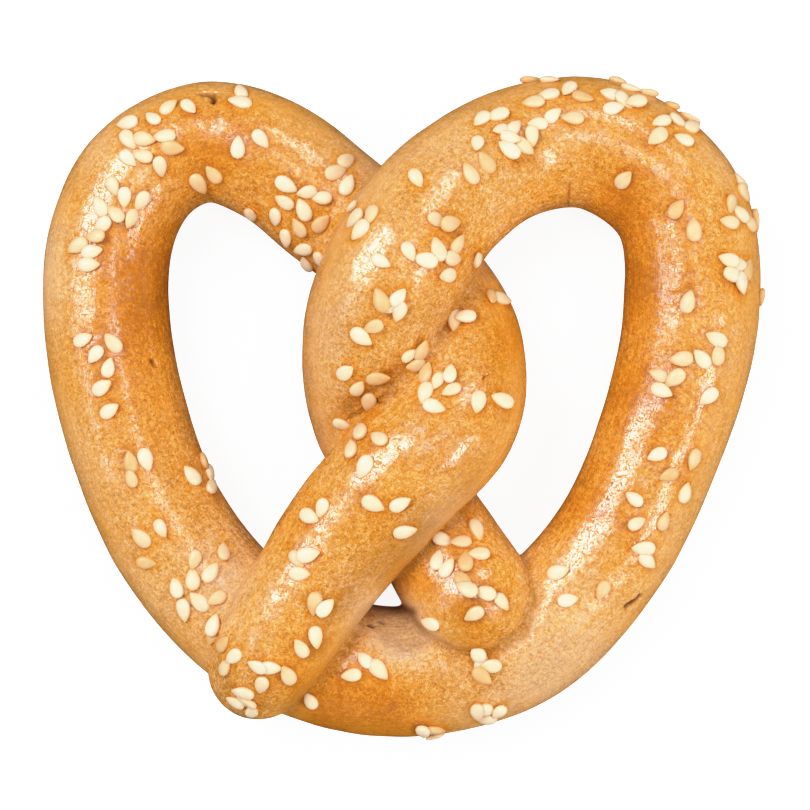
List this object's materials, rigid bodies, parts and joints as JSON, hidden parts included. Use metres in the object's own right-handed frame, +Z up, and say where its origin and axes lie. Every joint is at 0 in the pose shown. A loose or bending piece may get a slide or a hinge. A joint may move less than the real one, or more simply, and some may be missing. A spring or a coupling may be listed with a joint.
{
  "type": "soft pretzel",
  "caption": "Soft pretzel: a thick rope of golden-brown dough tied in a twisted loop, its ends baked on to its own bow, with sesame seeds on the crust.",
  "frame": {"origin": "under the middle of the pretzel, on the surface it lies on", "axes": "+X across the pretzel to its right loop, +Y from the bow towards the loops, +Z up, the seeded side"},
  "size_m": [0.0974, 0.0896, 0.0234],
  "materials": {
    "crust": "satin",
    "sesame": "satin"
  },
  "bodies": {
    "root": {"pretzel": "crust"}
  },
  "joints": []
}
